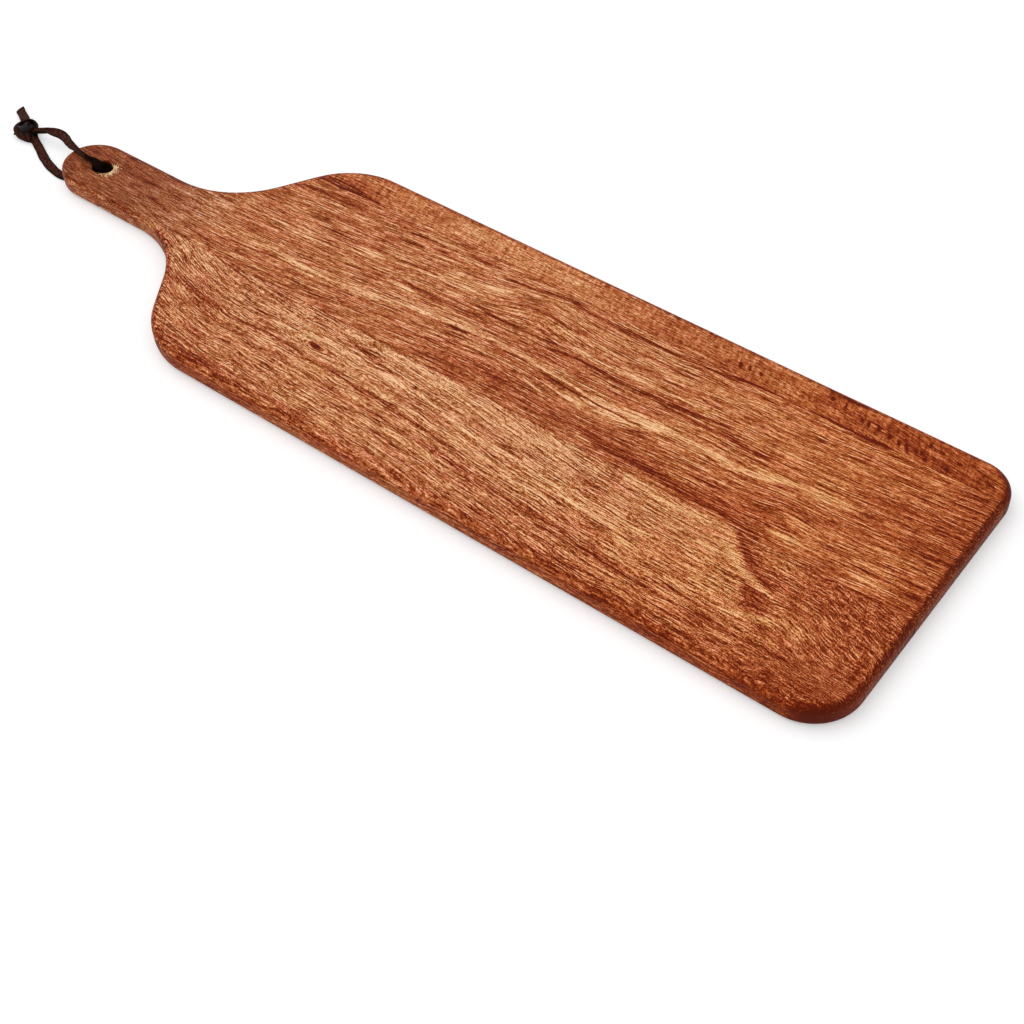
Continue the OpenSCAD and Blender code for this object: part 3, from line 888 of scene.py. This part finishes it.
def noise(tree, vector, scale, detail, roughness):
    """Noise from about -0.5 to 0.5, stretched by a scale for each direction."""
    made = tree.nodes.new("ShaderNodeTexNoise")
    place = vector_calc(tree, "MULTIPLY", vector, scale)
    fill(tree, made, {"Vector": place, "Scale": 1.0, "Detail": detail, "Roughness": roughness})
    return calc(tree, "SUBTRACT", made.outputs["Fac"], 0.5)


def threads(tree, vector, scale, thinness):
    """Thin winding lines, 1 along the middle of each: where a noise passes through zero."""
    off = calc(tree, "ABSOLUTE", noise(tree, vector, scale, 2.0, 0.5))
    return calc(tree, "MULTIPLY_ADD", off, -thinness, 1.0, clamp=True)


def ramp(tree, factor, stops):
    """A colour ramp over stops of place and colour."""
    made = tree.nodes.new("ShaderNodeValToRGB")
    band = made.color_ramp
    while len(band.elements) < len(stops):
        band.elements.new(0.5)
    for element, (place, colour) in zip(band.elements, stops):
        element.position = place
        element.color = (*colour, 1.0)
    wire(tree, factor, made.inputs[0])
    return made.outputs[0]


def dashes(tree, vector, scale, low, high, share):
    """Short dashes, 1 inside and 0 outside: the cores of stretched cells, in a share of them."""
    made = tree.nodes.new("ShaderNodeTexVoronoi")
    fill(tree, made, {"Vector": vector_calc(tree, "MULTIPLY", vector, scale), "Scale": 1.0})
    lot = tree.nodes.new("ShaderNodeSeparateColor")
    wire(tree, made.outputs["Color"], lot.inputs[0])
    size = calc(tree, "MULTIPLY_ADD", lot.outputs[0], 1 / share, 1 - 1 / share, clamp=True)
    core = tree.nodes.new("ShaderNodeMapRange")
    fill(tree, core, {"From Min": high, "From Max": low, "Value": made.outputs["Distance"]})
    return calc(tree, "MULTIPLY", core.outputs["Result"], calc(tree, "SQRT", size), clamp=True)


def emboss(tree, shader, height, strength, distance_mm):
    """Lets a height shade the surface."""
    made = tree.nodes.new("ShaderNodeBump")
    fill(tree, made, {"Strength": strength, "Distance": distance_mm * MM, "Height": height})
    wire(tree, made.outputs[0], shader.inputs["Normal"])


def seen_directly(tree):
    """1 for what the camera, reflections or glass see, and 0 for the light that falls on things."""
    path = tree.nodes.new("ShaderNodeLightPath").outputs
    seen = calc(tree, "MAXIMUM", path["Is Camera Ray"], path["Is Glossy Ray"])
    return calc(tree, "MAXIMUM", seen, path["Is Transmission Ray"])


def new_material(name):
    """An empty node material and its shader."""
    material = bpy.data.materials.new(name)
    material.use_nodes = True
    tree = material.node_tree
    return material, tree, tree.nodes["Principled BSDF"]


WOOD_STOPS = [
    (0, (0.11, 0.012, 0.002)),
    (0.18, (0.21, 0.034, 0.006)),
    (0.36, (0.34, 0.078, 0.015)),
    (0.52, (0.475, 0.14, 0.042)),
    (0.68, (0.62, 0.232, 0.092)),
    (0.84, (0.79, 0.368, 0.184)),
    (1, (0.95, 0.58, 0.355)),
]
PORE = (0.15, 0.024, 0.004, 1)
RAW = (0.72, 0.49, 0.27, 1)
# Near black for the painted shade inside the bore
BORE_SHADE_COLOUR = (0.02, 0.008, 0.005, 1)
BLUSHES = ((0.99, 1.03, 0.94, 1), (1, 0.8, 0.84, 1))
HUES = [(0, (1, 0.94, 0.78)), (0.5, (1, 1, 1)), (1, (0.72, 0.79, 0.95))]


# Each wood's layer weights, in the order that oiled_wood builds them, then how far its fibres wave,
# its redness, and its place in the noise
WOODS = {
    "wood_far": ((0.15, 0.4, 1.5, 1.6, 1, -0.04, -0.08, 1), 1.5, 0.35, 3),
    "wood_middle": ((0.15, 0.4, 2.8, 1.7, 0, -0.12, -0.24, 1.3), 2, 0.35, 1),
    "wood_near": ((0.15, 0.3, 3.3, 2.2, 0, -0.05, -0.28, 2), 4, 0.3, 2),
}


def oiled_wood(name):
    """Oiled hardwood. Bands, streaks, fibres and specks add up to a tone, with flecks across them,
    dark veins and hairs along them and a fine grit, and a ramp turns the tone to colour. Pores are
    dark dashes along the grain. Waves bend the fibres to and fro."""
    weights, waves, redness, seed = WOODS[name]
    material, tree, shader = new_material(name)
    grain = shifted(tree, painted(tree, "grain", "Vector"), (seed * 37.0, seed * 11.0, 0.0))
    sway = noise(tree, grain, (0.035, 0.09, 0.08), 2.0, 0.5)
    bend = tree.nodes.new("ShaderNodeCombineXYZ")
    wire(tree, calc(tree, "MULTIPLY", sway, waves), bend.inputs[1])
    line = shifted(tree, grain, bend.outputs[0])

    fibre = noise(tree, line, (0.044, 1.35, 1.2), 3.0, 0.62)
    layers = (
        noise(tree, grain, (0.004, 0.16, 0.12), 3.0, 0.55),
        noise(tree, line, (0.0055, 0.36, 0.28), 3.0, 0.65),
        fibre,
        noise(tree, line, (0.25, 1.3, 1.2), 2.0, 0.6),
        noise(tree, slanted(tree, grain, TICK_SLANT), (0.42, 0.12, 0.2), 3.0, 0.6),
        threads(tree, shifted(tree, line, (3.0, 41.0, 5.0)), (0.005, 0.12, 0.1), 22.0),
        threads(tree, shifted(tree, line, (7.0, 3.0, 29.0)), (0.022, 0.62, 0.55), 10.0),
        noise(tree, line, (0.9, 1.9, 1.7), 2.0, 0.6),
    )
    tone = 0.0
    for layer, weight in zip(layers, weights):
        tone = calc(tree, "MULTIPLY_ADD", layer, weight, tone)
    tone = calc(tree, "MULTIPLY_ADD", tone, painted(tree, "figure"), painted(tree, "tone"))
    # Painted shade: a little darker where the surface turns away from facing up
    tone = calc(tree, "MULTIPLY_ADD", painted(tree, "turned"), -0.04, tone)
    colour = ramp(tree, tone, WOOD_STOPS)

    blush = noise(tree, line, (0.022, 0.26, 0.2), 3.0, 0.6)
    blush = calc(tree, "MULTIPLY_ADD", blush, 2.6, redness)
    blush = calc(tree, "ADD", blush, painted(tree, "flush"), clamp=True)
    colour = mix_colour(tree, 1.0, colour, mix_colour(tree, blush, *BLUSHES), "MULTIPLY")
    colour = mix_colour(tree, 1.0, colour, ramp(tree, painted(tree, "hue"), HUES), "MULTIPLY")

    fine = dashes(tree, line, (0.26, 1.8, 1.6), 0.04, 0.26, 0.8)
    coarse = dashes(tree, shifted(tree, line, (19.0, 7.0, 3.0)), (0.11, 1.0, 0.9), 0.06, 0.24, 0.5)
    pore = calc(tree, "MAXIMUM", fine, coarse)
    colour = mix_colour(tree, calc(tree, "MULTIPLY", pore, 0.8), colour, PORE)

    torn = painted(tree, "torn")
    ragged = calc(tree, "MULTIPLY_ADD", noise(tree, grain, (0.38, 0.75, 0.7), 2.0, 0.6), 6.5, -0.45)
    ragged = calc(tree, "MULTIPLY", calc(tree, "MULTIPLY_ADD", torn, 1.7, ragged), 3.0, clamp=True)
    ragged = calc(tree, "MULTIPLY", ragged, calc(tree, "MULTIPLY", torn, 10.0, clamp=True))
    colour = mix_colour(tree, ragged, colour, RAW)
    # Painted shade inside the bore
    colour = mix_colour(tree, painted(tree, "bore_shade"), colour, BORE_SHADE_COLOUR)
    rough = calc(tree, "MULTIPLY_ADD", fibre, 0.18, 0.47)
    rough = calc(tree, "MULTIPLY_ADD", pore, 0.2, rough)
    fill(tree, shader, {"Base Color": colour, "Roughness": rough, "Specular IOR Level": 0.04})
    emboss(tree, shader, calc(tree, "MULTIPLY_ADD", pore, -1.0, fibre), 0.55, 0.12)
    return material


def suede(name, dark, light, roughness, shine):
    """Split leather: short nap in clumps, darker at the cut edges, and with painted shade near the hole
    and inside the knot.
    """
    material, tree, shader = new_material(name)
    place = painted(tree, "lace", "Vector")
    clump = noise(tree, place, (0.4, 0.5, 0.5), 2.0, 0.6)
    nap = noise(tree, place, (0.9, 1.1, 1.1), 3.0, 0.7)
    share = calc(tree, "MULTIPLY_ADD", clump, 1.4, 0.42)
    share = calc(tree, "MULTIPLY_ADD", nap, 3.4, share)
    parts = tree.nodes.new("ShaderNodeSeparateXYZ")
    wire(tree, place, parts.inputs[0])
    edge = calc(tree, "SUBTRACT", calc(tree, "ABSOLUTE", parts.outputs[1]), LACE_W / 2 - 1.2)
    share = calc(tree, "MULTIPLY_ADD", calc(tree, "MAXIMUM", edge, 0.0), -0.6, share)
    # Painted shade near the hole and inside the knot
    share = calc(tree, "MULTIPLY_ADD", painted(tree, "lace_shade"), -0.9, share, clamp=True)
    colour = mix_colour(tree, share, (*dark, 1.0), (*light, 1.0))
    fill(tree, shader, {"Base Color": colour, "Roughness": roughness, "Specular IOR Level": shine})
    emboss(tree, shader, calc(tree, "ADD", clump, nap), 0.7, 0.2)
    return material


# Floor and light

FLOOR_HALF = 6000.0
# A hair below the underside, so that the two faces don't coincide
FLOOR_Z = -0.02
FLOOR_ALBEDO = 0.80
FLOOR_LIFT = 0.30
WHITE = (1.0, 1.0, 1.0, 1.0)
WORLD_LIGHT = 0.80
KEY_STRENGTH = 0.75
KEY_FROM = (-0.75, 0, 1)
KEY_ANGLE = math.radians(60)


def add_floor():
    """A plain white floor. What the camera and reflections see of it is lifted to white, and it
    keeps the object's shadow."""
    ends = (-FLOOR_HALF, FLOOR_HALF)
    floor = make_piece("floor", [(x, y, FLOOR_Z) for y in ends for x in ends], [(0, 1, 3, 2)])
    material, tree, shader = new_material("floor_white")
    white = (FLOOR_ALBEDO, FLOOR_ALBEDO, FLOOR_ALBEDO, 1.0)
    fill(tree, shader, {"Base Color": white, "Roughness": 1.0, "Specular IOR Level": 0.0})
    lift = calc(tree, "MULTIPLY", seen_directly(tree), FLOOR_LIFT)
    fill(tree, shader, {"Emission Color": WHITE, "Emission Strength": lift})
    floor.data.materials.append(material)


def add_light():
    """Even light from all round, with a broad soft key from above on the handle's side."""
    world = bpy.data.worlds.new("studio")
    bpy.context.scene.world = world
    world.use_nodes = True
    tree = world.node_tree
    strength = calc(tree, "MULTIPLY_ADD", seen_directly(tree), 1.0 - WORLD_LIGHT, WORLD_LIGHT)
    fill(tree, tree.nodes["Background"], {"Color": WHITE, "Strength": strength})
    key = bpy.data.lights.new("key", "SUN")
    key.energy = KEY_STRENGTH
    key.angle = KEY_ANGLE
    lamp = bpy.data.objects.new("key", key)
    lamp.rotation_mode = "QUATERNION"
    lamp.rotation_quaternion = Vector(KEY_FROM).to_track_quat("Z", "Y")
    bpy.context.scene.collection.objects.link(lamp)


def add_lace():
    """The lace's two free legs, its knot and its cut tail."""
    nap = suede("brown_suede", (0.007, 0.002, 0.001), (0.104, 0.026, 0.014), 0.85, 0.07)
    # The strands inside the knot: a glossier suede painted near black, as the shade inside the knot
    knot_shade_nap = suede("knot_shade_suede", (0.002, 0.001, 0.001), (0.010, 0.005, 0.005), 0.28, 0.05)
    upper = lace_strip("lace_upper", UPPER_ROUTE, (0, 1, 0), UPPER_TWIST, UPPER_FOLD, 1)
    lower = lace_strip("lace_lower", LOWER_ROUTE, (0, 1, 0), LOWER_TWIST, LOWER_FOLD, 2)
    tail = lace_strip("lace_tail", TAIL_ROUTE, (1, 1, 0), TAIL_TWIST, TAIL_FOLD, 3, slant=2.2)
    turn, *inner = knot_pieces()
    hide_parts("thong_upper_leg")
    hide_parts("thong_lower_leg")
    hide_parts("thong_tail")
    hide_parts("thong_knot")
    for piece in (upper, lower, tail, turn, *inner):
        piece.data.materials.append(knot_shade_nap if piece in inner else nap)
        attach(piece, "thong")


def add_board():
    """The three staves, each with its own figure."""
    far = plain_stave("far_plank", far_low[0], FAR_JOINT_Y, BLADE_HALF)
    middle = middle_stave()
    near = plain_stave("near_plank", near_low[0], -BLADE_HALF, NEAR_JOINT_Y)
    looks = (
        (far, "far_stave", "wood_far"),
        (middle, "middle_stave", "wood_middle"),
        (near, "near_stave", "wood_near"),
    )
    for piece, stave, wood in looks:
        paint_wood(piece)
        piece.data.materials.append(oiled_wood(wood))
        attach(piece, "board")
        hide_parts(stave)


add_camera()
add_lace()
add_board()
add_floor()
add_light()
bpy.context.scene.view_settings.view_transform = "Standard"
